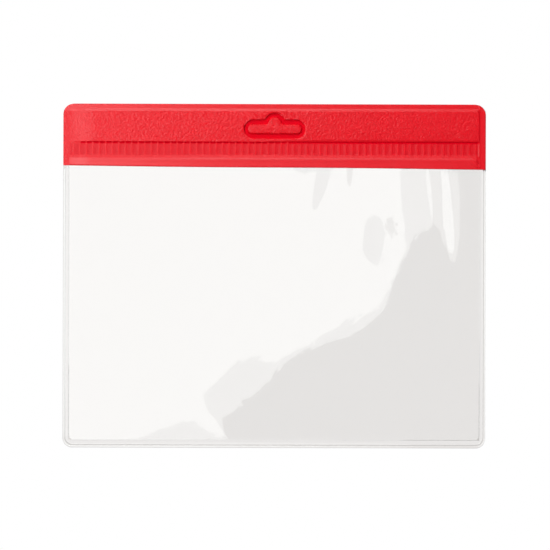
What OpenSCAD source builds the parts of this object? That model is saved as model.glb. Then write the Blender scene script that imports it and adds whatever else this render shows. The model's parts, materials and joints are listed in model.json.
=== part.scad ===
// Soft PVC badge holder: a clear card pocket below a red grained header with a tear-out lanyard slot.
// +X is the width, +Z is up and the front faces -Y.
// The origin is the centre of the lanyard slot, in the middle plane of the back film.

/* [Overall size] */
// Width of the holder
holder_w = 110; // [109:0.5:130]
// Height of the holder, header included
holder_h = 89.5; // [70:0.5:120]
// Radius of the two top corners
top_corner_r = 2.8; // [1:0.1:4]
// Radius of the two bottom corners
bottom_corner_r = 2.5; // [1:0.1:4]

/* [Clear films] */
// Thickness of one clear film
film_t = 0.3; // [0.2:0.05:0.4]
// Room for a card between the two films
pocket_gap = 0.4; // [0.3:0.05:0.6]
// Play between the loose front film and the weld round it
film_play = 0.1; // [0.05:0.01:0.2]
// Gap between the top edge of the front film and the lip above it
mouth_play = 0.3; // [0.2:0.05:1]

/* [Pocket weld] */
// Width of the weld along each side of the pocket
side_weld_w = 1.55; // [1.4:0.05:2.5]
// Height of the weld along the bottom of the pocket
bottom_weld_h = 2.05; // [1.6:0.05:3]
// Radius of the inner corners of the weld
inner_corner_r = 1.2; // [0.5:0.1:3]
// Width of the bead left along the outer edge of the weld
bead_w = 0.6; // [0.4:0.05:0.8]
// Width of the groove pressed beside that bead
bead_groove_w = 0.35; // [0.2:0.05:0.5]
// Depth of that groove
bead_groove_depth = 0.3; // [0.1:0.05:0.4]

/* [Header strips] */
// Height of the header, its loose lip included
header_h = 16.5; // [16.5:0.5:20]
// Thickness of one red strip
strip_t = 0.45; // [0.35:0.05:0.6]
// How far the soft field of a strip stands out over its pressed flange
field_rise = 0.3; // [0.1:0.05:0.4]
// Width of the pressed flange along the top edge
top_flange_w = 1.1; // [0.6:0.1:1.5]
// Width of the pressed flange along each side edge
side_flange_w = 1.55; // [1.4:0.05:1.6]
// Radius of the corners of the soft field
field_corner_r = 1.6; // [0.5:0.1:2]

/* [Ribbed weld] */
// Distance from the top edge down to the ribbed weld
rib_band_drop = 10.5; // [10.2:0.1:11]
// Height of the ribbed weld
rib_band_h = 2.9; // [2:0.1:2.9]
// Number of ribs
rib_count = 63; // [21:2:63]
// Distance between two ribs
rib_pitch = 1.69; // [1.2:0.01:1.69]
// Width of one rib
rib_w = 0.4; // [0.3:0.05:0.6]
// Depth of the pressed cells between the ribs
cell_depth = 0.15; // [0.05:0.05:0.2]

/* [Lip] */
// Height of the fold that joins the lip to the ribbed weld, below that weld
lip_root_h = 0.4; // [0.3:0.05:0.6]
// Play round the lip
lip_play = 0.03; // [0.02:0.01:0.1]

/* [Lanyard slot] */
// Distance from the top edge down to the centre line of the slot
slot_drop = 6.5; // [6:0.1:7]
// Width of the slot
slot_w = 15.15; // [12:0.05:18]
// Height of the slot beside its hump
slot_h = 3.86; // [3.4:0.02:4.2]
// Radius of the hump on top of the slot
hump_r = 2.3; // [2.1:0.05:2.5]
// Height of the centre of that hump over the centre line of the slot
hump_rise = 1.39; // [1.2:0.01:1.5]
// Play between the plug and the slot
plug_play = 0.03; // [0.02:0.01:0.05]
// Thickness of red left on each side of the back film in the fused ring round the slot
tear_t = 0.12; // [0.1:0.01:0.2]
// How far the plug lies below the soft field round it
plug_sink = 0.1; // [0:0.05:0.15]

/* [Hidden] */
$fn = 96;

// Heights, measured from the centre line of the slot
top_z = slot_drop;
bottom_z = top_z - holder_h;
header_low_z = top_z - header_h;
band_top_z = top_z - rib_band_drop;
band_low_z = band_top_z - rib_band_h;
field_gap = 0.3;
field_low_z = band_top_z + field_gap;
pocket_low_z = bottom_z + bottom_weld_h;
half_w = holder_w / 2;
pocket_half_w = half_w - side_weld_w;
band_end_margin = 0.2;
band_half_w = pocket_half_w - band_end_margin;

// Depths: the back film lies at the middle plane, and each layer on it adds its thickness
film_back_y = film_t / 2;
film_front_y = -film_t / 2;
flange_front_y = film_front_y - strip_t;
field_front_y = flange_front_y - field_rise;
cell_front_y = flange_front_y + cell_depth;
window_back_y = film_front_y - pocket_gap;
window_front_y = window_back_y - film_t;
lip_back_y = window_back_y;
lip_front_y = lip_back_y - strip_t;

// Lip: its rounded upper edge turns beside the fold
lip_edge_r = strip_t / 2;
lip_hinge_y = lip_back_y - lip_edge_r;
lip_hinge_z = band_low_z - lip_root_h - lip_play - lip_edge_r;
lip_root_overlap = 0.4;
lip_root_top_z = band_low_z + lip_root_overlap;

// Groove round the slot: how far it reaches out of and into the tear line
groove_end = 0.42;
groove_side = 0.62;
groove_hump = 0.5;
ring_w = 0.5;
cut = 1;

// ---- shared shapes ----

// A flat layer between two depths, from an outline drawn in X and Z
module layer(front_y, back_y) {
    translate([0, back_y, 0])
        rotate([90, 0, 0])
            linear_extrude(back_y - front_y)
                children();
}

// A flat outline between two heights, with round upper corners
module round_top(half_width, low_z, high_z, r) {
    translate([-half_width, low_z])
        square([2 * half_width, high_z - r - low_z]);
    translate([r - half_width, low_z])
        square([2 * (half_width - r), high_z - low_z]);
    for (side = [-1, 1])
        translate([side * (half_width - r), high_z - r])
            circle(r);
}

// A flat outline between two heights, with round lower corners
module round_bottom(half_width, low_z, high_z, r) {
    mirror([0, 1])
        round_top(half_width, -high_z, -low_z, r);
}

// A flat outline with four round corners
module round_all(half_width, low_z, high_z, r) {
    mid_z = (low_z + high_z) / 2;
    round_top(half_width, mid_z, high_z, r);
    round_bottom(half_width, low_z, mid_z, r);
}

// The outline of the slot, moved outwards at its ends, sides and hump
module slot_outline(end_out, side_out, hump_out) {
    slot_half_h = slot_h / 2 + side_out;
    end_x = slot_w / 2 + end_out - slot_half_h;
    square([2 * end_x, 2 * slot_half_h], center = true);
    for (side = [-1, 1])
        translate([side * end_x, 0])
            circle(slot_half_h);
    translate([0, hump_rise])
        circle(hump_r + hump_out);
}

// The line along which the plug tears out
module tear_outline() {
    slot_outline(0, 0, 0);
}

// The plug, clear of the tear line all round
module plug_outline() {
    slot_outline(-plug_play, -plug_play, -plug_play);
}

// The raised island inside the groove
module island_outline() {
    slot_outline(-groove_end, -groove_side, -groove_hump);
}

// The outer edge of the groove, widened by grow for the ring that is welded round it
module groove_outline(grow) {
    slot_outline(groove_end + grow, groove_side + grow, groove_hump + grow);
}

// The soft field inside the pressed flange, made smaller by inset
module field_outline(inset) {
    round_all(half_w - side_flange_w - inset, field_low_z + inset,
              top_z - top_flange_w - inset, field_corner_r - inset);
}

// One pressed cell of the ribbed weld; the first and the last reach the ends of the band
module cell_outline(i) {
    left_x = i == 0 ? -band_half_w : (i - 1 - (rib_count - 1) / 2) * rib_pitch + rib_w / 2;
    right_x = i == rib_count ? band_half_w : (i - (rib_count - 1) / 2) * rib_pitch - rib_w / 2;
    translate([left_x, band_low_z])
        square([right_x - left_x, rib_band_h]);
}

// A header strip on the front of the back film, with its field, ribs and slot
module strip() {
    difference() {
        union() {
            layer(flange_front_y, film_front_y)
                round_top(half_w, header_low_z, top_z, top_corner_r);
            layer(field_front_y, film_front_y)
                field_outline(0);
        }
        // the strip keeps its thickness, so it is hollow behind the soft field
        layer(flange_front_y + strip_t - field_rise, film_front_y + cut)
            difference() {
                field_outline(strip_t);
                groove_outline(ring_w);
            }
        // the slot, with the fused ring round it
        layer(field_front_y - cut, film_front_y + cut)
            groove_outline(0);
        // the ribbed weld is a row of pressed cells, with a rib left between each two
        for (i = [0 : rib_count])
            layer(flange_front_y - cut, cell_front_y)
                cell_outline(i);
    }
}

// One red layer of the plug on the front of the back film, with a step where the groove runs
module plug_layer() {
    layer(film_front_y - tear_t, film_front_y)
        plug_outline();
    layer(field_front_y + plug_sink, film_front_y)
        island_outline();
}

// ---- clear pieces ----

// The sheet behind the card: it runs up between the two header strips
module back_film() {
    color([0.86, 0.92, 0.94, 0.35])
        difference() {
            layer(film_front_y, film_back_y) {
                round_top(half_w, header_low_z, top_z, top_corner_r);
                round_bottom(pocket_half_w, pocket_low_z, header_low_z, inner_corner_r);
            }
            layer(film_front_y - cut, film_back_y + cut)
                groove_outline(0);
        }
}

// The sheet in front of the card: it is loose along its top edge, the mouth of the pocket
module front_film() {
    color([0.90, 0.95, 0.97, 0.35])
        layer(window_front_y, window_back_y)
            round_bottom(pocket_half_w - film_play, pocket_low_z + film_play,
                         header_low_z - mouth_play, inner_corner_r);
}

// The rim where both films are fused along three edges, with a bead along its outer edge
module pocket_weld() {
    color([0.80, 0.88, 0.92, 0.6])
        difference() {
            layer(window_front_y, film_back_y)
                round_bottom(half_w, bottom_z, header_low_z, bottom_corner_r);
            layer(window_front_y - cut, film_back_y + cut)
                round_bottom(pocket_half_w, pocket_low_z, header_low_z + cut, inner_corner_r);
            layer(window_front_y - cut, window_front_y + bead_groove_depth)
                difference() {
                    round_bottom(half_w - bead_w, bottom_z + bead_w, header_low_z + cut,
                                 bottom_corner_r - bead_w / 2);
                    round_bottom(half_w - bead_w - bead_groove_w,
                                 bottom_z + bead_w + bead_groove_w, header_low_z + 2 * cut,
                                 bottom_corner_r - bead_w / 2 - bead_groove_w);
                }
        }
}

// ---- red pieces ----

// The ring round the slot, where both strips and the back film are pressed and fused into one
module slot_weld() {
    color([0.74, 0.04, 0.10])
        difference() {
            layer(film_front_y - tear_t, film_back_y + tear_t)
                groove_outline(0);
            layer(film_front_y - tear_t - cut, film_back_y + tear_t + cut)
                tear_outline();
        }
}

// The front strip: below its ribbed weld only the side flanges and the fold of the lip go on
module header_front_strip() {
    color([0.86, 0.11, 0.15]) {
        difference() {
            strip();
            layer(flange_front_y - cut, film_front_y + cut)
                translate([-pocket_half_w, header_low_z - cut])
                    square([2 * pocket_half_w, band_low_z - header_low_z + cut]);
        }
        layer(lip_front_y, lip_back_y)
            translate([-pocket_half_w, band_low_z - lip_root_h])
                square([2 * pocket_half_w, lip_root_top_z - band_low_z + lip_root_h]);
    }
}

// The loose lower margin of the front strip: it bends out at the fold below the ribbed weld
module header_lip() {
    lip_half_w = pocket_half_w - lip_play;
    color([0.90, 0.16, 0.20]) {
        layer(lip_front_y, lip_back_y)
            translate([-lip_half_w, header_low_z])
                square([2 * lip_half_w, lip_hinge_z - header_low_z]);
        translate([-lip_half_w, lip_hinge_y, lip_hinge_z])
            rotate([0, 90, 0])
                cylinder(h = 2 * lip_half_w, r = lip_edge_r);
    }
}

// The back strip: its lower margin lies flat on the back film
module header_back_strip() {
    color([0.80, 0.10, 0.14])
        mirror([0, 1, 0])
            strip();
}

// The plug in the slot, in the same three layers as the header
module slot_plug_front() {
    color([0.90, 0.16, 0.20])
        plug_layer();
}

module slot_plug_core() {
    color([0.86, 0.92, 0.94, 0.5])
        layer(film_front_y, film_back_y)
            plug_outline();
}

module slot_plug_back() {
    color([0.80, 0.10, 0.14])
        mirror([0, 1, 0])
            plug_layer();
}

back_film();
front_film();
pocket_weld();
header_front_strip();
header_lip();
header_back_strip();
slot_weld();
slot_plug_front();
slot_plug_core();
slot_plug_back();
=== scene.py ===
import json
import math

import bmesh
import bpy
import numpy as np
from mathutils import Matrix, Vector


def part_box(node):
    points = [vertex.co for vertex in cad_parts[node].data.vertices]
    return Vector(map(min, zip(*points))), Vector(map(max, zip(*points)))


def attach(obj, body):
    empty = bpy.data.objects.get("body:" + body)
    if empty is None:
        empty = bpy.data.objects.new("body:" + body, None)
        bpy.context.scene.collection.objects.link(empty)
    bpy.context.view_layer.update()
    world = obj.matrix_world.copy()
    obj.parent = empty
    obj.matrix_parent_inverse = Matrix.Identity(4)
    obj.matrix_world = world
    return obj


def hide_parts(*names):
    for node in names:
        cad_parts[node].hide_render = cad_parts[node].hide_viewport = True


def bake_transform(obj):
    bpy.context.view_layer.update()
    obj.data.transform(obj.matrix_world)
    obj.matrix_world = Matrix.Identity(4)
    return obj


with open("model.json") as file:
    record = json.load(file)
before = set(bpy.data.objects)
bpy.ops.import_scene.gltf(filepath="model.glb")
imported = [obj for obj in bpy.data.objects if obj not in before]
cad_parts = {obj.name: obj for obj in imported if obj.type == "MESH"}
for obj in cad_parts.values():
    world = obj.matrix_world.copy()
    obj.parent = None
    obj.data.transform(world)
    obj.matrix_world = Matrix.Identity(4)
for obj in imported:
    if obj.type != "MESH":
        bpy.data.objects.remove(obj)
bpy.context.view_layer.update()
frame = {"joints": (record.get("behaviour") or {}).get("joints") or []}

# Lengths are in millimetres, and MM turns them into metres where a mesh, a light or a camera is made.
MM = 0.001


def box_mm(node):
    """The lowest and highest corner of a CAD node, in millimetres."""
    low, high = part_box(node)
    return [c / MM for c in low], [c / MM for c in high]


# ---- sizes from the frame ----
front_low, front_high = box_mm("header_front_strip")
rim_low = box_mm("pocket_weld")[0]
back_film_low, back_film_high = box_mm("back_film")
window_low, window_high = box_mm("front_film")
lip_joint = next(joint for joint in frame["joints"] if joint["name"] == "lip_lift")

HALF_W = front_high[0]
TOP_Z = front_high[2]
BOTTOM_Z = rim_low[2]
HEADER_LOW_Z = front_low[2]
FILM_T = back_film_high[1] - back_film_low[1]
FILM_FACE = back_film_high[1]
FILM_PLAY = 0.1
POCKET_HALF_W = window_high[0] + FILM_PLAY
POCKET_LOW_Z = window_low[2] - FILM_PLAY
WINDOW_FRONT_Y = window_low[1]
FOLD_Z = lip_joint["pos_m"][2] / MM

# ---- header relief: heights stand out from the face of the back film ----
STRIP_T = 0.45
TOP_CORNER_R = 2.8
BOTTOM_CORNER_R = 2.5
EDGE_R = 0.2
TOP_FLANGE_W = 1.1
SIDE_FLANGE_W = 1.55

# the soft field: its left side slopes gently, and its right half is puffier and sags above the crease
FIELD_RISE = 0.3
FIELD_SLOPE_W = 0.95
FOOT_SLOPE_W = 0.35
LEFT_SLOPE_W = 7
RIGHT_SLOPE_W = 0.4
FIELD_LOW_Z = TOP_Z - 9.85
SAG_DEPTH = 0.12
SAG_H = 3.2
RIDGE_RISE = 0.05
RIDGE_W = 0.16

PUFFY_X = (-4, 14)

# the leather grain of the field: long wrinkles, round pebbles and a slow swell
WRINKLE_L = 1.25
WRINKLE_W = 0.46
WRINKLE_H = 0.034
PEBBLE_W = 0.5
PEBBLE_H = 0.04
SWELL_L = 6
SWELL_W = 4
SWELL_H = 0.03

# the crease under the field, and the ribbed weld below it
CREASE_Z = TOP_Z - 10.05
CREASE_W = 0.2
LEFT_CREASE_DEPTH = 0.0126
RIGHT_CREASE_DEPTH = 0.21
BAND_TOP_Z = TOP_Z - 10.3
BAND_LOW_Z = TOP_Z - 13.35
RIB_PITCH = 1.69
RIB_CREST_W = 0.1
RIB_LEFT_W = 0.8
RIB_RIGHT_W = 0.42
CELL_DEPTH = 0.075

# the lip: the lower edge falls by LIP_SKEW from the middle to the right
LIP_RISE = 0.34
LIP_TUCK = 0.16
LIP_SKEW = 0.38
LIP_WAVE = 0.06
LIP_BEVEL = 0.12
LIP_BEVEL_H = 0.18
LIP_LIFT = 0.1
LIP_ROWS = 15

# the strips' grid: whole columns to a rib, and rows above and below the middle of the slot
COLUMN_STEP = RIB_PITCH / 8
SIDE_COLUMNS = int(HALF_W / COLUMN_STEP)
LIP_COLUMN = round(POCKET_HALF_W / COLUMN_STEP)
ROWS_ABOVE = 35
ROWS_BELOW = 41
SLOT_COLUMNS = 42
SLOT_ROWS_ABOVE = 25
SLOT_ROWS_BELOW = 16

# ---- slot outlines: half width, half height, hump radius, fillet beside the hump ----
HUMP_RISE = 1.39
GROOVE = {"half_w": 7.995, "half_h": 2.55, "hump_r": 2.8, "fillet": 0.3}
TEAR = {"half_w": 7.575, "half_h": 1.93, "hump_r": 2.3, "fillet": 0.5}
ISLAND = {"half_w": 7.155, "half_h": 1.31, "hump_r": 1.8, "fillet": 0.7}
GROOVE_EDGE_DEPTH = 0.16
GROOVE_EDGE_W = 0.2
TEAR_T = 0.12
PLUG_H = 0.65
# the back is a little flatter than the front
BACK_SHARE = 0.93


# ---- noise ----

LATTICE_SIZE = 64


def lattice(seed):
    """Random unit gradients on a square lattice."""
    angles = np.random.RandomState(seed).uniform(0, 2 * math.pi, (LATTICE_SIZE, LATTICE_SIZE))
    return np.cos(angles), np.sin(angles)


def noise(x, z, seed):
    """Gradient noise of about -0.7 to 0.7 at points x, z, one cell per unit. seed picks the pattern."""
    gx, gz = lattice(seed)
    ix, iz = np.floor(x).astype(int), np.floor(z).astype(int)
    fx, fz = x - ix, z - iz
    u = fx ** 3 * (fx * (fx * 6 - 15) + 10)
    v = fz ** 3 * (fz * (fz * 6 - 15) + 10)

    def corner(dx, dz):
        a, b = (ix + dx) % LATTICE_SIZE, (iz + dz) % LATTICE_SIZE
        return gx[a, b] * (fx - dx) + gz[a, b] * (fz - dz)

    low = corner(0, 0) * (1 - u) + corner(1, 0) * u
    high = corner(0, 1) * (1 - u) + corner(1, 1) * u
    return low * (1 - v) + high * v


def ramp(value, low, high):
    """0 below low, 1 above high, with a smooth step between."""
    t = np.clip((value - low) / (high - low), 0, 1)
    return t * t * (3 - 2 * t)


def inset(x, z, half_w, low, high, r):
    """How far a point lies inside a box with round corners."""
    mid, half_h = (low + high) / 2, (high - low) / 2
    qx, qz = np.abs(x) - half_w + r, np.abs(z - mid) - half_h + r
    outside = np.hypot(np.maximum(qx, 0), np.maximum(qz, 0))
    return r - outside - np.minimum(np.maximum(qx, qz), 0)


# ---- slot outlines ----

def quarter(spec):
    """The upper right stretch of a slot outline, from its end to the top of its hump."""
    h, r, f = spec["half_h"], spec["hump_r"], spec["fillet"]
    end_x = spec["half_w"] - h
    rise = h + f - HUMP_RISE
    fillet_x = math.sqrt((r + f) ** 2 - rise ** 2)
    tip = math.atan2(rise, fillet_x)
    arc = np.linspace(0, math.pi / 2, 40)
    cove = np.linspace(-math.pi / 2, -math.pi + tip, 24)
    hump = np.linspace(tip, math.pi / 2, 48)
    xs = np.concatenate([end_x + h * np.cos(arc), fillet_x + f * np.cos(cove), r * np.cos(hump)])
    zs = np.concatenate([h * np.sin(arc), h + f + f * np.sin(cove), HUMP_RISE + r * np.sin(hump)])
    return xs, zs


def path(xs, zs, s):
    """Points at the fractions s of a line's length."""
    steps = np.hypot(np.diff(xs), np.diff(zs))
    along = np.concatenate([[0], np.cumsum(steps)])
    along /= along[-1]
    return np.interp(s, along, xs), np.interp(s, along, zs)


def upper(spec, s):
    """Points of the outline from its left end over the hump to its right end."""
    xs, zs = quarter(spec)
    return path(np.concatenate([-xs, xs[::-1][1:]]), np.concatenate([zs, zs[::-1][1:]]), s)


def lower(spec, s):
    """Points of the outline from its left end along the bottom to its right end."""
    h = spec["half_h"]
    end_x = spec["half_w"] - h
    arc = np.linspace(0, math.pi / 2, 40)
    xs, zs = end_x + h * np.cos(arc), -h * np.sin(arc)
    return path(np.concatenate([-xs, xs[::-1]]), np.concatenate([zs, zs[::-1]]), s)


def outline_gap(x, z, spec):
    """Distance from points to a slot outline, worked out only for points near the slot."""
    s = np.linspace(0, 1, 220)
    (ux, uz), (lx, lz) = upper(spec, s), lower(spec, s)
    px, pz = np.concatenate([ux, lx]), np.concatenate([uz, lz])
    flat_x, flat_z = x.ravel(), z.ravel()
    far_away = 9.0
    gap = np.full(flat_x.shape, far_away)
    near = (np.abs(flat_x) < 10) & (np.abs(flat_z) < 6)
    d2 = (flat_x[near, None] - px) ** 2 + (flat_z[near, None] - pz) ** 2
    gap[near] = np.sqrt(d2.min(1))
    return gap.reshape(x.shape)


# ---- relief of the red strips ----

def grain(x, z):
    """Fine leather grain: wrinkles that rise to the right, and pebbles. It is weaker at the left."""
    bend = 0.5 * noise(x / 5, z / 5, 11)
    along = (x * 0.86 + z * 0.5) / WRINKLE_L + bend
    across = (z * 0.86 - x * 0.5) / WRINKLE_W + 1.6 * bend
    wrinkles = 1 - 2.4 * np.abs(noise(along, across, 12))
    pebbles = noise(x / PEBBLE_W, z / PEBBLE_W, 13)
    strength = 0.55 + 0.45 * ramp(x, -HALF_W, -25)
    swell = SWELL_H * noise(x / SWELL_L, z / SWELL_W, 14)
    return (WRINKLE_H * wrinkles + PEBBLE_H * pebbles) * strength + swell


def from_rib(x):
    """Distance to the right of the nearest rib's crest, below 0 on its left."""
    return (np.mod(x / RIB_PITCH + 0.5, 1) - 0.5) * RIB_PITCH


def rib_shape(x):
    """1 on a rib's crest and 0 in a cell: a rib rises slowly from the left and drops on its right."""
    offset = from_rib(x)
    return np.where(offset < 0, 1 - ramp(-offset, RIB_CREST_W, RIB_LEFT_W), 1 - ramp(offset, 0, RIB_RIGHT_W))


def field_height(x, z, puffy):
    """The soft field over the flange, with a small ridge along its right side."""
    side_x = HALF_W - SIDE_FLANGE_W
    sides = ramp(side_x - x, 0, RIGHT_SLOPE_W) * ramp(side_x + x, 0, LEFT_SLOPE_W)
    top = ramp(TOP_Z - TOP_FLANGE_W - z, 0, FIELD_SLOPE_W)
    foot_z = CREASE_Z - 0.1
    foot = ramp(z, foot_z, foot_z + FOOT_SLOPE_W + (FIELD_SLOPE_W - FOOT_SLOPE_W) * puffy)
    sag = SAG_DEPTH * puffy * (1 - ramp(z, FIELD_LOW_Z, FIELD_LOW_Z + SAG_H))
    ridge = RIDGE_RISE * np.exp(-((x - side_x + 0.1) / RIDGE_W) ** 2)
    return (FIELD_RISE * top + grain(x, z) * top ** 2 - sag) * sides * foot + ridge


def crease_depth(x, z, puffy):
    """The crease under the field: dashes between the ribs at the left, one deep line at the right."""
    in_line = np.exp(-((z - CREASE_Z) / CREASE_W) ** 2)
    depth = LEFT_CREASE_DEPTH * ramp(x, -HALF_W, -44) + RIGHT_CREASE_DEPTH * puffy
    return depth * (1 - 0.85 * rib_shape(x) * (1 - puffy)) * in_line


def cell_depth(x, z):
    """The cells of the ribbed weld: they are pressed deeper towards the right, and worn unevenly."""
    below_top = ramp(BAND_TOP_Z - z, -0.05, 0.2)
    above_low = ramp(z - BAND_LOW_Z, -0.1, 0.12)
    wear = 0.8 + 0.4 * noise(x / 2.1, z / 1.2 + 7, 15)
    pressed_in = ramp(x, -54, -47) * (0.3 + 0.7 * ramp(x, -30, 35))
    return CELL_DEPTH * pressed_in * wear * (1 - rib_shape(x)) * below_top * above_low


def edge_drop(x, z):
    """How far the rounded outer edge of a strip falls away."""
    inside = inset(x, z, HALF_W, HEADER_LOW_Z - 3, TOP_Z, TOP_CORNER_R)
    return EDGE_R - np.sqrt(EDGE_R ** 2 - np.clip(EDGE_R - inside, 0, EDGE_R) ** 2)


def strip_height(x, z, with_lip):
    """How far a red strip stands out from the back film."""
    puffy = ramp(x, *PUFFY_X)
    band_end = ramp(HALF_W - SIDE_FLANGE_W - 0.25 - np.abs(x), 0, 0.3)
    height = STRIP_T + field_height(x, z, puffy)
    height -= (crease_depth(x, z, puffy) + cell_depth(x, z)) * band_end
    height -= GROOVE_EDGE_DEPTH * np.exp(-(outline_gap(x, z, GROOVE) / GROOVE_EDGE_W) ** 2)
    if with_lip:
        height += lip_swell(x, z)
    return height - edge_drop(x, z)


def lip_swell(x, z):
    """How far the lip stands out over the flange: it rolls out below the ribs and ends at its sides."""
    below = BAND_LOW_Z - z
    roll = ramp(below, -0.3, 1.4)
    tuck = LIP_TUCK * ramp(below, 1.0, 3.6)
    end = LIP_COLUMN * COLUMN_STEP - np.abs(x)
    end_w = np.where(x < 0, 5.5, 1.1)
    share = 0.4 + 0.6 * ramp(x, -52, -15)
    pucker = 0.05 * np.sin((z + 0.6 * x) * 5.5) * ramp(x, 49.5, 52.5) * ramp(end, 0, 0.4)
    return ((LIP_RISE - tuck) * share * ramp(end, 0, end_w) + pucker) * roll


def header_low(x):
    """The lower edge of the header drops a little from left to right."""
    return HEADER_LOW_Z - LIP_SKEW * x / HALF_W + LIP_WAVE * np.sin(x / 13)


# ---- meshes ----

NORMAL_STEP = 0.02


def closed_sheet(name, x, z, faces, front, back):
    """A closed sheet between two depth functions over flat faces. Walls go round every open edge."""
    count = len(x)
    used = np.zeros(count, bool)
    for face in faces:
        used[list(face)] = True
    index = np.cumsum(used) - 1
    faces = [tuple(index[list(face)]) for face in faces]
    x, z = x[used], z[used]
    count = len(x)
    front_y, back_y = front(x, z), back(x, z)
    directed = {(face[k - 1], face[k]) for face in faces for k in range(len(face))}
    rim = sorted(edge for edge in directed if (edge[1], edge[0]) not in directed)
    verts = np.concatenate([np.stack([x, front_y, z], 1), np.stack([x, back_y, z], 1)]) * MM
    back_faces = [tuple(k + count for k in reversed(face)) for face in faces]
    walls = [(b, a, a + count, b + count) for a, b in rim]
    mesh = bpy.data.meshes.new(name)
    mesh.from_pydata(verts.tolist(), [], faces + back_faces + walls)
    mesh.update()

    e = NORMAL_STEP
    normals = []
    for depth, sign in ((front, -1), (back, 1)):
        slope_x = (depth(x + e, z) - depth(x - e, z)) / (2 * e)
        slope_z = (depth(x, z + e) - depth(x, z - e)) / (2 * e)
        n = np.stack([-slope_x, np.ones(count), -slope_z], 1) * sign
        normals.append(n / np.linalg.norm(n, axis=1)[:, None])
    vertex_normals = np.concatenate(normals)
    flat = np.array([p.normal for p in mesh.polygons])
    loop_vertex = np.zeros(len(mesh.loops), int)
    mesh.loops.foreach_get("vertex_index", loop_vertex)
    loop_face = np.repeat(np.arange(len(mesh.polygons)), [p.loop_total for p in mesh.polygons])
    is_wall = loop_face >= 2 * len(faces)
    corner_normals = np.where(is_wall[:, None], flat[loop_face], vertex_normals[loop_vertex])
    mesh.polygons.foreach_set("use_smooth", np.ones(len(mesh.polygons), bool))
    mesh.normals_split_custom_set(corner_normals.tolist())
    return add_object(name, mesh)


def add_object(name, data):
    """Puts a mesh, a light or a camera into the scene."""
    obj = bpy.data.objects.new(name, data)
    bpy.context.scene.collection.objects.link(obj)
    return obj


def grid_faces(rows, columns, keep):
    """Quads of a grid, facing the front, where keep(row, column) holds."""
    faces = []
    for j in range(rows - 1):
        for i in range(columns - 1):
            if keep(j, i):
                a = j * columns + i
                faces.append((a, a + columns, a + columns + 1, a + 1))
    return faces


def slot_patch(x, z, columns, left, right, top, bottom, spec, rings):
    """Fills the gap between a rectangle cut from a grid and a slot outline. Rows run from top to bottom."""
    rows_up = [(j, left) for j in range(bottom, top, -1)]
    across = [(top, i) for i in range(left, right)]
    rows_down = [(j, right) for j in range(top, bottom)]
    return_row = [(bottom, i) for i in range(right, left, -1)]
    loop = np.array([j * columns + i for j, i in rows_up + across + rows_down + return_row])
    lx, lz = x[loop], z[loop]
    angle_45 = math.pi / 4 * spec["half_h"]
    ux, uz = quarter(spec)
    upper_len = 2 * np.hypot(np.diff(ux), np.diff(uz)).sum()
    lower_len = 2 * (spec["half_w"] - spec["half_h"]) + math.pi * spec["half_h"]
    w, z_top, z_low = x[right + top * columns], z[top * columns], -z[bottom * columns]
    target_x, target_z = np.zeros(len(loop)), np.zeros(len(loop))
    for high in (True, False):
        reach, length, line = (z_top, upper_len, upper) if high else (z_low, lower_len, lower)
        total = 2 * reach + 2 * w
        mask = lz >= 0 if high else lz < 0
        side_left, side_right = lx <= -w + 1e-6, lx >= w - 1e-6
        run = np.where(side_left, np.abs(lz), np.where(side_right, total - np.abs(lz), reach + w + lx))
        a = angle_45 / length
        s = np.interp(run / total, [0, reach / total, 1 - reach / total, 1], [0, a, 1 - a, 1])
        px, pz = line(spec, s)
        target_x, target_z = np.where(mask, px, target_x), np.where(mask, pz, target_z)
    n, start = len(loop), len(x)
    new_x, new_z, faces, previous = [x], [z], [], loop
    for ring in range(1, rings + 1):
        t = ring / rings
        new_x.append(lx + (target_x - lx) * t)
        new_z.append(lz + (target_z - lz) * t)
        current = start + (ring - 1) * n + np.arange(n)
        for k in range(n):
            m = (k + 1) % n
            faces.append((int(previous[k]), int(current[k]), int(current[m]), int(previous[m])))
        previous = current
    return np.concatenate(new_x), np.concatenate(new_z), faces


def header_grid(low_rows):
    """Columns that follow the ribs, and rows from the top edge to the header's lower edge."""
    inner = np.arange(-SIDE_COLUMNS, SIDE_COLUMNS + 1) * COLUMN_STEP
    xs = np.concatenate([[-HALF_W], inner, [HALF_W]])
    above, below = np.linspace(TOP_Z, 0, ROWS_ABOVE + 1), np.linspace(0, FOLD_Z, ROWS_BELOW + 1)
    zs = np.concatenate([above, below[1:]])
    x, z = np.meshgrid(xs, zs)
    t = np.linspace(0, 1, low_rows + 1)[1:, None]
    low_x = np.tile(xs, (low_rows, 1))
    low_z = FOLD_Z + t * (header_low(xs)[None, :] - FOLD_Z)
    x, z = np.concatenate([x, low_x]), np.concatenate([z, low_z])
    corner = np.clip(z - (TOP_Z - TOP_CORNER_R), 0, TOP_CORNER_R)
    row_half_w = HALF_W - TOP_CORNER_R + np.sqrt(TOP_CORNER_R ** 2 - corner ** 2)
    return x * row_half_w / HALF_W, z, len(xs)


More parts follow.
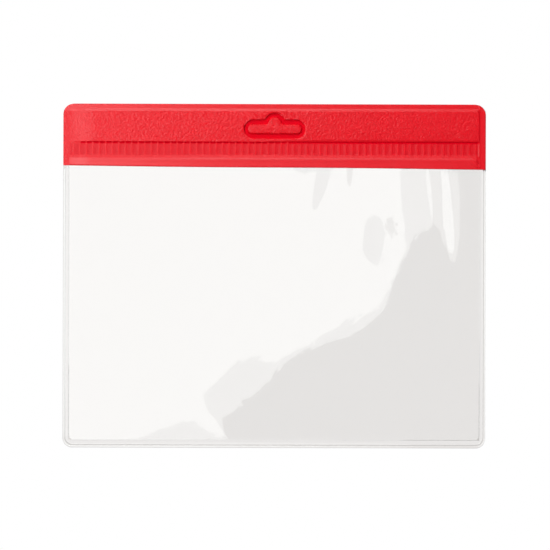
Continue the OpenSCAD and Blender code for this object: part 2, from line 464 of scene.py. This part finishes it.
def make_strip(name, low_rows, with_lip):
    """A header strip with its relief. The front one leaves room for the lip below the fold."""
    x, z, columns = header_grid(low_rows)
    rows = x.shape[0]
    middle = (columns - 1) // 2
    left, right = middle - SLOT_COLUMNS, middle + SLOT_COLUMNS
    top, bottom = ROWS_ABOVE - SLOT_ROWS_ABOVE, ROWS_ABOVE + SLOT_ROWS_BELOW
    fold_row = ROWS_ABOVE + ROWS_BELOW

    def keep(j, i):
        in_slot = top <= j < bottom and left <= i < right
        in_lip = with_lip and j >= fold_row and abs(i + 0.5 - middle) < LIP_COLUMN
        return not in_slot and not in_lip

    faces = grid_faces(rows, columns, keep)
    x, z, patch = slot_patch(x.ravel(), z.ravel(), columns, left, right, top, bottom, GROOVE, 5)
    side = -1 if with_lip else 1

    def outer(px, pz):
        share = 1 if with_lip else BACK_SHARE
        return side * (FILM_FACE + share * strip_height(px, pz, with_lip))

    def inner(px, pz):
        return np.full(px.shape, side * FILM_FACE)

    front, back = (outer, inner) if with_lip else (inner, outer)
    return closed_sheet(name, x, z, faces + patch, front, back)


def make_lip(name, side):
    """One half of the lip, from the side flange to the middle."""
    xs = np.arange(0, LIP_COLUMN + 1) * COLUMN_STEP
    xs = xs if side > 0 else -xs[::-1]
    t = np.linspace(0, 1, LIP_ROWS)[:, None]
    x = np.tile(xs, (LIP_ROWS, 1))
    z = FOLD_Z + t * (header_low(xs)[None, :] - FOLD_Z)
    faces = grid_faces(LIP_ROWS, len(xs), lambda j, i: True)

    def near_edge(px, pz):
        return 1 - ramp(pz - header_low(px), 0, LIP_BEVEL_H)

    def outer(px, pz):
        lift = LIP_LIFT * ramp(-pz, 1 - FOLD_Z, -HEADER_LOW_Z) * ramp(POCKET_HALF_W - 0.05 - np.abs(px), 0, 8)
        return -FILM_FACE - strip_height(px, pz, True) + LIP_BEVEL * near_edge(px, pz) - lift

    def inner(px, pz):
        thinner = outer(px, pz) + STRIP_T - 0.2 * near_edge(px, pz)
        return np.minimum(thinner, -FILM_FACE - 0.02)

    return closed_sheet(name, x.ravel(), z.ravel(), faces, outer, inner)


def signed_gap(x, z, spec):
    """Distance from a slot outline, above 0 inside it."""
    s = np.linspace(0, 1, 220)
    (ux, uz), (lx, lz) = upper(spec, s), lower(spec, s)
    inside = (z < np.interp(x, ux, uz)) & (z > np.interp(x, lx, lz)) & (np.abs(x) < spec["half_w"])
    return np.where(inside, 1, -1) * outline_gap(x, z, spec)


def outline_loop(spec, s):
    """A closed loop round an outline: over the top from left to right, and back along the bottom."""
    (ux, uz), (lx, lz) = upper(spec, s), lower(spec, s)
    return np.concatenate([ux, lx[::-1][1:-1]]), np.concatenate([uz, lz[::-1][1:-1]])


def rings_between(loops, start_index, new_start):
    """Faces between loops, the first loop already having indices, the others numbered from new_start."""
    faces, previous = [], start_index
    n = len(start_index)
    for ring in range(len(loops)):
        current = new_start + ring * n + np.arange(n)
        for k in range(n):
            m = (k + 1) % n
            faces.append((int(previous[k]), int(previous[m]), int(current[m]), int(current[k])))
        previous = current
    return faces


def make_plug(name, side, columns=110, rows=14):
    """A plug layer: a raised island inside a thin margin. side is -1 in front, 1 behind, 0 for the film."""
    s = (1 - np.cos(np.linspace(0, math.pi, columns + 1))) / 2
    (ux, uz), (lx, lz) = upper(ISLAND, s), lower(ISLAND, s)
    xs, zs = [ux[:1]], [uz[:1]]
    v = np.linspace(0, 1, rows + 1)
    for i in range(1, columns):
        xs.append(lx[i] + (ux[i] - lx[i]) * v)
        zs.append(lz[i] + (uz[i] - lz[i]) * v)
    xs.append(ux[-1:])
    zs.append(uz[-1:])
    last = 1 + (columns - 1) * (rows + 1)

    def at(i, j):
        return 0 if i == 0 else last if i == columns else 1 + (i - 1) * (rows + 1) + j

    faces = []
    for i in range(columns):
        for j in range(rows):
            corners = [at(i, j), at(i + 1, j), at(i + 1, j + 1), at(i, j + 1)]
            face = [c for k, c in enumerate(corners) if c != corners[k - 1]]
            faces.append(tuple(face))
    border = [at(i, rows) for i in range(columns + 1)] + [at(i, 0) for i in range(columns - 1, 0, -1)]
    (ix, iz), (px, pz) = outline_loop(ISLAND, s), outline_loop(TEAR, s)
    shares = (0.1, 0.22, 0.4, 0.7, 1.0)
    loops = [(ix + (px - ix) * t, iz + (pz - iz) * t) for t in shares]
    faces += rings_between(loops, border, last + 1)
    x = np.concatenate(xs + [a for a, b in loops])
    z = np.concatenate(zs + [b for a, b in loops])
    faces = [tuple(f) for f in faces]

    def raised(a, b):
        gap = signed_gap(a, b, ISLAND)
        step = ramp(gap, -0.14, 0.3)
        crown = 0.06 * ramp(gap, 0, 1.2)
        return TEAR_T + (PLUG_H - TEAR_T) * step + crown * step + 0.8 * grain(a + 3, b) * step

    def film_face(sign):
        return lambda a, b: np.full(a.shape, sign * FILM_FACE)

    def outer(a, b):
        return side * (FILM_FACE + (1 if side < 0 else BACK_SHARE) * raised(a, b))

    if side == 0:
        return closed_sheet(name, x, z, faces, film_face(-1), film_face(1))
    if side < 0:
        return closed_sheet(name, x, z, faces, outer, film_face(-1))
    return closed_sheet(name, x, z, faces, film_face(1), outer)


def make_slot_ring(name):
    """The fused ring between the tear line and the outer edge of the groove."""
    s = (1 - np.cos(np.linspace(0, math.pi, 111))) / 2
    (ox, oz), (tx, tz) = outline_loop(GROOVE, s), outline_loop(TEAR, s)
    shares = (0, 0.33, 0.66, 1)
    loops = [(tx + (ox - tx) * t, tz + (oz - tz) * t) for t in shares]
    faces = rings_between(loops[1:], np.arange(len(tx)), len(tx))
    x = np.concatenate([a for a, b in loops])
    z = np.concatenate([b for a, b in loops])

    def depth(sign):
        return lambda a, b: sign * (FILM_FACE + TEAR_T + 0.012 * noise(a / 0.5, b / 0.5, 16))

    return closed_sheet(name, x, z, faces, depth(-1), depth(1))


# ---- clear films ----

FILM_STEP = 0.7
WINDOW_ROWS = 104
WINDOW_SETBACK = 0.04
WELD_GAP = 0.02
MOUTH_GAP = 0.03
STRIP_MARGIN = 0.05
SLOW_WAVE_L = 17
SLOW_WAVE_H = 0.012
RIPPLE_L = 4.5
RIPPLE_H = 0.0035

def bulge(x, z, centre, half_w, half_h, height, lean=0):
    """A soft bulge in a film, or a hollow where its height is below 0. lean tilts it to the right."""
    across = (x - centre[0] - lean * (z - centre[1])) / half_w
    return height * np.exp(-across ** 2 - ((z - centre[1]) / half_h) ** 2)


def front_bulges(x, z):
    """The front film hangs in slack folds from its mouth."""
    fold_by_slot = bulge(x, z, (18, -10), 2, 9, 0.1)
    wide_fold = bulge(x, z, (41, -13), 4, 12, 0.11, -0.15)
    edge_fold = bulge(x, z, (46.5, -15), 2.5, 20, 0.15, -0.1)
    end_of_slack = bulge(x, z, (25, -25), 5, 7.5, 0.075, -0.1)
    return fold_by_slot + wide_fold + edge_fold + end_of_slack


def back_bulges(x, z):
    """The back film bellies out in the middle of the pocket and is drawn up under the header."""
    belly = bulge(x, z, (-16, -58), 11, 18, 0.18, 0.6)
    belly_end = bulge(x, z, (17, -43), 8, 12, 0.08, 0.35)
    fold_by_slot = bulge(x, z, (10.5, -10), 3, 13, 0.32, 0.2)
    wide_hollow = bulge(x, z, (39, -14), 4, 15, -0.085, -0.1)
    edge_fold = bulge(x, z, (49.5, -23), 3.5, 19, 0.125)
    end_of_slack = bulge(x, z, (21.5, -27), 5, 6.5, 0.175)
    return belly + belly_end + fold_by_slot + wide_hollow + edge_fold + end_of_slack


def film_wave(x, z, seed, bulges):
    """How far a film stands forward of its plane: slow waves, a finer unevenness and its bulges."""
    free = ramp(z, POCKET_LOW_Z, POCKET_LOW_Z + 12) * ramp(POCKET_HALF_W - np.abs(x), 0, 9)
    slow = SLOW_WAVE_H * noise(x / SLOW_WAVE_L, z / SLOW_WAVE_L, seed)
    ripple = RIPPLE_H * noise(x / RIPPLE_L, z / RIPPLE_L, seed + 1)
    return (slow + ripple) * free + bulges(x, z) * ramp(POCKET_HALF_W - x, 0, 3)


def make_window_half(name, side):
    """Half of the front film, from its side weld to the middle."""
    count = round(POCKET_HALF_W / FILM_STEP) + 1
    xs = np.linspace(0, POCKET_HALF_W - WELD_GAP, count)
    xs = xs if side > 0 else -xs[::-1]
    t = np.linspace(0, 1, WINDOW_ROWS)[:, None]
    x = np.tile(xs, (WINDOW_ROWS, 1))
    top_z = header_low(xs)[None, :] - MOUTH_GAP
    z = top_z + t * (POCKET_LOW_Z + WELD_GAP - top_z)
    faces = grid_faces(WINDOW_ROWS, count, lambda j, i: True)

    def front(a, b):
        return WINDOW_FRONT_Y + WINDOW_SETBACK - film_wave(a, b, 21, front_bulges)

    def back(a, b):
        return front(a, b) + FILM_T

    return closed_sheet(name, x.ravel(), z.ravel(), faces, front, back)


def make_back_film(name):
    """The back film: it fills the pocket and runs up between the strips, round the slot."""
    xs = np.linspace(-1, 1, 2 * round(POCKET_HALF_W / FILM_STEP) + 1)
    tuck_z = HEADER_LOW_Z - 0.4
    above, behind = np.linspace(TOP_Z - STRIP_MARGIN, 0, 14), np.linspace(0, tuck_z, 19)
    pocket = np.linspace(tuck_z - 0.1, POCKET_LOW_Z + WELD_GAP, 100)
    zs = np.concatenate([above, behind[1:], [tuck_z - 0.05], pocket])
    u, z = np.meshgrid(xs, zs)
    corner = np.clip(z - (TOP_Z - TOP_CORNER_R), 0, TOP_CORNER_R)
    wide = HALF_W - STRIP_MARGIN - TOP_CORNER_R + np.sqrt(TOP_CORNER_R ** 2 - corner ** 2)
    x = u * np.where(z > tuck_z - 0.02, wide, POCKET_HALF_W - WELD_GAP)
    columns, middle = len(xs), (len(xs) - 1) // 2
    left, right, top, bottom = middle - 13, middle + 13, 3, 20
    faces = grid_faces(len(zs), columns, lambda j, i: not (top <= j < bottom and left <= i < right))
    x[top:bottom + 1] = u[top:bottom + 1] * (HALF_W - STRIP_MARGIN)
    x, z, patch = slot_patch(x.ravel(), z.ravel(), columns, left, right, top, bottom, GROOVE, 3)

    def middle_y(a, b):
        below = ramp(-b, -HEADER_LOW_Z - 1.2, -HEADER_LOW_Z + 1)
        return -film_wave(a, b, 24, back_bulges) * below

    return closed_sheet(name, x, z, faces + patch,
                        lambda a, b: middle_y(a, b) - FILM_FACE, lambda a, b: middle_y(a, b) + FILM_FACE)


# ---- the fused rim ----

RIM_CORNER_IN = 1.2
# the section runs from the outer edge (0) to the pocket (1); the bead is centred on BEAD_SHARE
BEAD_SHARE = 0.19
BEAD_END = 0.44
RIM_FACE = 0.44
BEAD_RISE = 0.44
WELD_RISE = 0.17
WELD_SWELL = 0.07
RIM_END_H = 0.9
RIM_END_GAP = 0.02


def rim_line():
    """The rim's outer and inner edge, point for point, down the left side and round to the right."""
    arc = np.linspace(math.pi, 1.5 * math.pi, 25)
    sides = np.linspace(0, 1, 76)[:-1]
    out_c, in_c = HALF_W - BOTTOM_CORNER_R, POCKET_HALF_W - RIM_CORNER_IN
    out_z, in_z = BOTTOM_Z + BOTTOM_CORNER_R, POCKET_LOW_Z + RIM_CORNER_IN
    lines = []
    for half, cx, cz, r in ((HALF_W, out_c, out_z, BOTTOM_CORNER_R),
                            (POCKET_HALF_W, in_c, in_z, RIM_CORNER_IN)):
        start_left, start_right = header_low(-HALF_W) - RIM_END_GAP, header_low(HALF_W) - RIM_END_GAP
        left = [(-half, start_left + (cz - start_left) * t) for t in sides]
        left_arc = [(-cx + r * math.cos(a), cz + r * math.sin(a)) for a in arc]
        right_arc = [(-px, pz) for px, pz in reversed(left_arc)]
        bottom = [(-cx + 2 * cx * t, cz - r) for t in np.linspace(0, 1, 106)[1:-1]]
        right = [(half, cz + (start_right - cz) * (1 - t)) for t in sides[::-1]]
        lines.append(np.array(left + left_arc + bottom + right_arc + right))
    return lines


def rim_profile():
    """Points (share of the width, depth) round the rim's section, from the outer edge over the front."""
    front = []
    for share in (0, 0.015, 0.04, 0.08, 0.13, 0.19, 0.25, 0.3, 0.34, 0.365, 0.4, 0.45,
                  0.5, 0.56, 0.63, 0.7, 0.78, 0.86, 0.92, 0.96, 1):
        bead = BEAD_RISE * math.sqrt(max(0, 1 - ((share - BEAD_SHARE) / BEAD_SHARE) ** 2))
        step = WELD_RISE * float(ramp(share, 0.42, 0.6))
        swell = WELD_SWELL * math.sin(math.pi * float(ramp(share, 0.78, 1.1)))
        front.append((share, -RIM_FACE - bead - step - swell))
    back = [(1, 0.1), (0.97, 0.14), (0.8, 0.15), (0.45, 0.15), (0.36, 0.11), (0.3, 0.14), (0.19, 0.16),
            (0.08, 0.13), (0.02, 0.06)]
    return front + back


def make_rim(name):
    """The fused rim round the pocket, with its bead. Its bead and its flat part differ in clearness."""
    outer, inner = rim_line()
    profile = rim_profile()
    n, m = len(outer), len(profile)
    verts = []
    for k in range(n):
        for share, y in profile:
            px, pz = outer[k] + (inner[k] - outer[k]) * share
            verts.append((px * MM, y * MM, pz * MM))
    faces = []
    for k in range(n - 1):
        for q in range(m):
            r = (q + 1) % m
            faces.append((k * m + q, k * m + r, (k + 1) * m + r, (k + 1) * m + q))
    faces.append(tuple(reversed(range(m))))
    faces.append(tuple((n - 1) * m + q for q in range(m)))
    mesh = bpy.data.meshes.new(name)
    mesh.from_pydata(verts, [], faces)
    mesh.update()
    bm = bmesh.new()
    bm.from_mesh(mesh)
    bmesh.ops.recalc_face_normals(bm, faces=bm.faces)
    bm.to_mesh(mesh)
    bm.free()
    mesh.polygons.foreach_set("use_smooth", [len(p.vertices) == 4 for p in mesh.polygons])
    mesh.materials.append(bead_clear)
    mesh.materials.append(weld_clear)
    shares = [(profile[q][0] + profile[(q + 1) % m][0]) / 2 for q in range(m)]
    for face in mesh.polygons:
        flat = face.index < (n - 1) * m and shares[face.index % m] > BEAD_END
        face.material_index = int(flat or face.center.z > (HEADER_LOW_Z - RIM_END_H) * MM)
    return add_object(name, mesh)


# ---- materials ----

def new_material(name):
    """An empty node material with its output node."""
    material = bpy.data.materials.new(name)
    material.use_nodes = True
    nodes, links = material.node_tree.nodes, material.node_tree.links
    nodes.clear()
    output = nodes.new("ShaderNodeOutputMaterial")
    return material, nodes, links, output


def texture(nodes, links, kind, scale, detail=2.0, stretch=(1, 1, 1)):
    """A procedural texture in object space; scale is in features per metre."""
    where = nodes.new("ShaderNodeTexCoord")
    mapping = nodes.new("ShaderNodeMapping")
    mapping.inputs["Scale"].default_value = stretch
    links.new(where.outputs["Object"], mapping.inputs["Vector"])
    node = nodes.new(kind)
    links.new(mapping.outputs["Vector"], node.inputs["Vector"])
    node.inputs["Scale"].default_value = scale
    if "Detail" in node.inputs:
        node.inputs["Detail"].default_value = detail
    return node


def red_vinyl(name, light, deep, rough, bump_um, sheen):
    """Red soft PVC: a slow change of colour, a fine grain and a slightly uneven gloss."""
    material, nodes, links, output = new_material(name)
    shader = nodes.new("ShaderNodeBsdfPrincipled")
    links.new(shader.outputs[0], output.inputs[0])
    cloud = texture(nodes, links, "ShaderNodeTexNoise", 120, 3)
    mix = nodes.new("ShaderNodeMix")
    mix.data_type = "RGBA"
    mix.inputs["A"].default_value = (*light, 1)
    mix.inputs["B"].default_value = (*deep, 1)
    links.new(cloud.outputs[0], mix.inputs["Factor"])
    links.new(mix.outputs["Result"], shader.inputs["Base Color"])
    gloss = texture(nodes, links, "ShaderNodeTexNoise", 700, 2)
    spread = nodes.new("ShaderNodeMapRange")
    spread.inputs["To Min"].default_value = rough - 0.05
    spread.inputs["To Max"].default_value = rough + 0.07
    links.new(gloss.outputs[0], spread.inputs["Value"])
    links.new(spread.outputs[0], shader.inputs["Roughness"])
    grain_node = texture(nodes, links, "ShaderNodeTexNoise", 2600, 4, (1, 1, 1.5))
    bump = nodes.new("ShaderNodeBump")
    bump.inputs["Strength"].default_value = 0.6
    bump.inputs["Distance"].default_value = bump_um * 1e-6
    links.new(grain_node.outputs[0], bump.inputs["Height"])
    links.new(bump.outputs[0], shader.inputs["Normal"])
    shader.inputs["IOR"].default_value = 1.5
    shader.inputs["Specular IOR Level"].default_value = sheen
    return material


def clear_film(name, tint):
    """Clear PVC film: each face lets the light through with a slight tint and reflects by its angle."""
    material, nodes, links, output = new_material(name)
    through = nodes.new("ShaderNodeBsdfTransparent")
    through.inputs["Color"].default_value = (*tint, 1)
    gloss = nodes.new("ShaderNodeBsdfGlossy")
    gloss.inputs["Roughness"].default_value = 0.012
    facing = nodes.new("ShaderNodeLayerWeight")
    facing.inputs["Blend"].default_value = 0.5
    power = nodes.new("ShaderNodeMath")
    power.operation = "POWER"
    power.inputs[1].default_value = 5
    links.new(facing.outputs["Facing"], power.inputs[0])
    share = nodes.new("ShaderNodeMapRange")
    share.inputs["To Min"].default_value = 0.045
    share.inputs["To Max"].default_value = 1
    links.new(power.outputs[0], share.inputs["Value"])
    ripple = texture(nodes, links, "ShaderNodeTexNoise", 800, 0)
    bump = nodes.new("ShaderNodeBump")
    bump.inputs["Strength"].default_value = 0.5
    bump.inputs["Distance"].default_value = 2.5e-6
    links.new(ripple.outputs[0], bump.inputs["Height"])
    links.new(bump.outputs[0], gloss.inputs["Normal"])
    mix = nodes.new("ShaderNodeMixShader")
    links.new(share.outputs[0], mix.inputs[0])
    links.new(through.outputs[0], mix.inputs[1])
    links.new(gloss.outputs[0], mix.inputs[2])
    links.new(mix.outputs[0], output.inputs[0])
    return material


def clear_bead(name):
    """The bead along the rim: clear PVC with a faint frost where it was pressed."""
    material, nodes, links, output = new_material(name)
    shader = nodes.new("ShaderNodeBsdfPrincipled")
    shader.inputs["Base Color"].default_value = (0.830, 0.806, 0.792, 1)
    shader.inputs["Transmission Weight"].default_value = 1
    shader.inputs["IOR"].default_value = 1.53
    frost = texture(nodes, links, "ShaderNodeTexNoise", 900, 3)
    spread = nodes.new("ShaderNodeMapRange")
    spread.inputs["To Min"].default_value = 0.03
    spread.inputs["To Max"].default_value = 0.14
    links.new(frost.outputs[0], spread.inputs["Value"])
    links.new(spread.outputs[0], shader.inputs["Roughness"])
    links.new(shader.outputs[0], output.inputs[0])
    return material


def dress(obj, material, slot):
    """Gives a piece its material, unless it has its own. slot is not used."""
    if not obj.data.materials:
        obj.data.materials.append(material)


def press_and_shade_strip(strip):
    """Gives the crease and the rib cells a darker red, the pressed PVC's deeper colour together with painted
    shade, and the flange its smooth sheen.
    """
    for material in (pressed, cell, flange):
        strip.data.materials.append(material)
    centres = np.array([face.center for face in strip.data.polygons]) / MM
    x, y, z = centres.T
    between = np.abs(from_rib(x)) > RIB_RIGHT_W * 0.7
    # the crease faces get the darker pressed red, which there also stands in as painted shade of the crease
    line_half_h = np.where(x > 4, 0.28, 0.26)
    crease_pressed_and_shaded = (np.abs(z - CREASE_Z) < line_half_h) & (between | (x > 4))
    crease_pressed_and_shaded &= (x > -51) & (x < POCKET_HALF_W - 0.3)
    # the rib cells get a darker red: the pressed PVC's colour together with painted shade of the recessed
    # cells
    cell_pressed_and_shaded = between & (z < BAND_TOP_Z) & (z > BAND_LOW_Z + 0.05)
    cell_pressed_and_shaded &= np.abs(x) < HALF_W - SIDE_FLANGE_W - 0.3
    at_top = z > TOP_Z - TOP_FLANGE_W - 0.8 * FIELD_SLOPE_W
    kind = np.select([crease_pressed_and_shaded, cell_pressed_and_shaded, at_top], [1, 2, 3], 0)
    kind = np.where(np.abs(y) > FILM_FACE + 0.02, kind, 0)
    strip.data.polygons.foreach_set("material_index", kind.astype(np.int32))


def press_margin(plug):
    """Gives the plug's thin margin the look of the pressed groove."""
    plug.data.materials.append(pressed)
    for face in plug.data.polygons:
        x, y, z = face.center / MM
        face.material_index = int(abs(y) < FILM_FACE + TEAR_T + 0.25)


# ---- the pieces ----

grained = red_vinyl("red_grained_vinyl", light=(0.91, 0.002, 0.013), deep=(0.86, 0.001, 0.010),
                    rough=0.38, bump_um=110, sheen=0.34)
smooth = red_vinyl("red_smooth_vinyl", light=(0.93, 0.002, 0.014), deep=(0.89, 0.001, 0.011),
                   rough=0.38, bump_um=12, sheen=0.62)
# the pressed red: the deep colour of the pressed groove, and in the crease also painted shade
pressed = red_vinyl("red_pressed_vinyl_and_crease_shade", light=(0.79, 0.000, 0.012), deep=(0.75, 0.000, 0.010),
                    rough=0.6, bump_um=8, sheen=0.04)
flange = red_vinyl("red_flange_vinyl", light=(0.92, 0.002, 0.013), deep=(0.88, 0.001, 0.010),
                   rough=0.34, bump_um=25, sheen=0.6)
# the cell red is darker: the pressed PVC's colour together with painted shade of the cells
cell = red_vinyl("red_cell_pressed_and_shaded_vinyl", light=(0.84, 0.001, 0.013), deep=(0.78, 0.001, 0.010),
                 rough=0.42, bump_um=60, sheen=0.25)
film = clear_film("clear_film_pvc", (0.985, 0.980, 0.976))
bead_clear = clear_bead("clear_bead_pvc")
weld_clear = clear_film("clear_weld_pvc", (0.942, 0.932, 0.926))

header_front = make_strip("header_front", 13, True)
header_back = make_strip("header_back", 7, False)
film_back = make_back_film("film_back")
weld_rim = make_rim("weld_rim")
slot_ring = make_slot_ring("slot_ring")
lips = {side: make_lip(f"lip_{word}", side) for side, word in ((-1, "left"), (1, "right"))}
windows = {side: make_window_half(f"film_front_{word}", side) for side, word in ((-1, "left"), (1, "right"))}
plug_front = make_plug("plug_front", -1)
plug_core = make_plug("plug_core", 0)
plug_back = make_plug("plug_back", 1)

for piece, material, slot, node in (
        (header_front, grained, "red_grained", "header_front_strip"),
        (header_back, grained, "red_grained", "header_back_strip"),
        (film_back, film, "clear_film", "back_film"),
        (weld_rim, weld_clear, "clear_weld", "pocket_weld"),
        (slot_ring, pressed, "red_smooth", "slot_weld")):
    dress(piece, material, slot)
    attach(piece, "holder")
    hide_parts(node)

for piece, material, slot, node in (
        (plug_front, grained, "red_grained", "slot_plug_front"),
        (plug_core, film, "clear_film", "slot_plug_core"),
        (plug_back, grained, "red_grained", "slot_plug_back")):
    dress(piece, material, slot)
    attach(piece, "plug")
    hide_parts(node)

for piece in (plug_front, plug_back):
    press_margin(piece)
for piece in (header_front, header_back):
    press_and_shade_strip(piece)

for side in (-1, 1):
    dress(lips[side], smooth, "red_smooth")
    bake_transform(lips[side])
    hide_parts("header_lip")
    dress(windows[side], film, "clear_film")
    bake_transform(windows[side])
    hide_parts("front_film")


# ---- light ----

MIDDLE = (0, 0, (TOP_Z + BOTTOM_Z) / 2)
SLOT = (0, 0, 0)
FILL_LEVEL = 0.22
KEY_DEPTH = 600
KEY_LIGHT = 1.42
# the key panel's corners: each shows in a flat film at this place
KEY_CORNERS = ((-150, -82), (-40, -82), (-12, -81), (-14, -76), (6, -59), (24, -52.5), (29, -47),
               (36, -30), (36, -5), (-150, 0))


def softbox(name, centre, size, power, target):
    """A square soft light that looks at target."""
    light = bpy.data.lights.new(name, "AREA")
    light.shape = "SQUARE"
    light.size = size * MM
    light.energy = power
    obj = add_object(name, light)
    obj.location = [c * MM for c in centre]
    aim = Vector(target) - Vector(centre)
    obj.rotation_euler = aim.to_track_quat("-Z", "Y").to_euler()
    obj.visible_camera = False
    return obj


# the camera looks along +Y at this point; FRAME_W is the width of its view there
AXIS_X, AXIS_Z = 0.2, -38.0
FRAME_W = 143.3
LENS = 135
SENSOR = 36
CAMERA_ROLL = -0.16
CAMERA_DEPTH = FRAME_W * LENS / SENSOR


def key_panel(name, depth, strength):
    """A flat glowing panel behind the camera. It lights the front and shows in the films."""
    spread = 1 + abs(depth) / CAMERA_DEPTH
    corners = [((AXIS_X + (x - AXIS_X) * spread) * MM, depth * MM, (AXIS_Z + (z - AXIS_Z) * spread) * MM)
               for x, z in KEY_CORNERS]
    mesh = bpy.data.meshes.new(name)
    mesh.from_pydata(corners, [], [tuple(range(len(corners)))])
    obj = add_object(name, mesh)
    material, nodes, links, output = new_material(name + "_glow")
    glow = nodes.new("ShaderNodeEmission")
    glow.inputs["Color"].default_value = (0.96, 1, 1, 1)
    glow.inputs["Strength"].default_value = strength
    links.new(glow.outputs[0], output.inputs[0])
    mesh.materials.append(material)
    obj.visible_camera = False
    return obj


def light_only(lights, pieces):
    """Lets lights reach only these pieces."""
    group = bpy.data.collections.new(lights[0].name + "_reach")
    for piece in pieces:
        group.objects.link(piece)
    for light in lights:
        light.light_linking.receiver_collection = group


clear_pieces = [film_back, weld_rim, plug_core, *windows.values()]
red_pieces = [header_front, header_back, slot_ring, plug_front, plug_back, *lips.values()]
panels = [key_panel("key_panel", -KEY_DEPTH, KEY_LIGHT), key_panel("back_panel", KEY_DEPTH, 0.9 * KEY_LIGHT)]
softbox("left_fill", centre=(-380, -400, 290), size=400, power=0.3, target=MIDDLE)
softbox("top_fill", centre=(-90, -420, 400), size=300, power=1.0, target=SLOT)
side_key = softbox("side_key", centre=(-276, -590, 42), size=128, power=2.3, target=SLOT)
light_only([side_key], red_pieces)
light_only(panels, clear_pieces)


def scale_between(nodes, links, source, from_range, to_range):
    """Maps a socket's value from one range to another."""
    node = nodes.new("ShaderNodeMapRange")
    node.inputs["From Min"].default_value, node.inputs["From Max"].default_value = from_range
    node.inputs["To Min"].default_value, node.inputs["To Max"].default_value = to_range
    links.new(source, node.inputs["Value"])
    return node.outputs[0]


def pick(nodes, links, switch, off, on):
    """off where the switch is 0, on where it is 1."""
    node = nodes.new("ShaderNodeMix")
    links.new(switch, node.inputs["Factor"])
    for socket, value in (("A", off), ("B", on)):
        if isinstance(value, float):
            node.inputs[socket].default_value = value
        else:
            links.new(value, node.inputs[socket])
    return node.outputs["Result"]


def make_world():
    """White where it is seen, a dim fill elsewhere. What the bead bends is darker towards the sides."""
    world = bpy.data.worlds.new("studio")
    bpy.context.scene.world = world
    world.use_nodes = True
    nodes, links = world.node_tree.nodes, world.node_tree.links
    nodes.clear()
    ray = nodes.new("ShaderNodeLightPath")
    direction = nodes.new("ShaderNodeTexCoord")
    parts = nodes.new("ShaderNodeSeparateXYZ")
    links.new(direction.outputs["Generated"], parts.inputs[0])
    depth_part = nodes.new("ShaderNodeMath")
    depth_part.operation = "ABSOLUTE"
    links.new(parts.outputs["Y"], depth_part.inputs[0])
    bent = scale_between(nodes, links, depth_part.outputs[0], (0.72, 0.93), (0.6, 1))
    unseen = pick(nodes, links, ray.outputs["Is Transmission Ray"], FILL_LEVEL, bent)
    seen = pick(nodes, links, ray.outputs["Is Camera Ray"], unseen, 1.0)
    background = nodes.new("ShaderNodeBackground")
    background.inputs["Color"].default_value = (1, 1, 1, 1)
    links.new(seen, background.inputs["Strength"])
    output = nodes.new("ShaderNodeOutputWorld")
    links.new(background.outputs[0], output.inputs[0])
    world.cycles_visibility.glossy = False


make_world()


# ---- stage ----

FLOOR_Z = BOTTOM_Z - 45
FLOOR_HALF_W = 3000


def make_floor(name):
    """A plain white floor that only the camera sees."""
    sides = ((-1, -1), (1, -1), (1, 1), (-1, 1))
    corners = [(x * FLOOR_HALF_W * MM, y * FLOOR_HALF_W * MM, FLOOR_Z * MM) for x, y in sides]
    mesh = bpy.data.meshes.new(name)
    mesh.from_pydata(corners, [], [(0, 1, 2, 3)])
    obj = add_object(name, mesh)
    material, nodes, links, output = new_material(name + "_white")
    glow = nodes.new("ShaderNodeEmission")
    links.new(glow.outputs[0], output.inputs[0])
    mesh.materials.append(material)
    obj.visible_glossy = False
    obj.visible_diffuse = False
    obj.visible_transmission = False


make_floor("floor")


# ---- camera ----

camera_data = bpy.data.cameras.new("camera")
camera_data.lens = LENS
camera_data.sensor_width = SENSOR
camera = add_object("camera", camera_data)
camera.location = (AXIS_X * MM, -CAMERA_DEPTH * MM, AXIS_Z * MM)
camera.rotation_euler = (math.radians(90), math.radians(CAMERA_ROLL), 0)
bpy.context.scene.camera = camera
bpy.context.scene.view_settings.view_transform = "Standard"
bpy.context.scene.view_settings.look = "None"
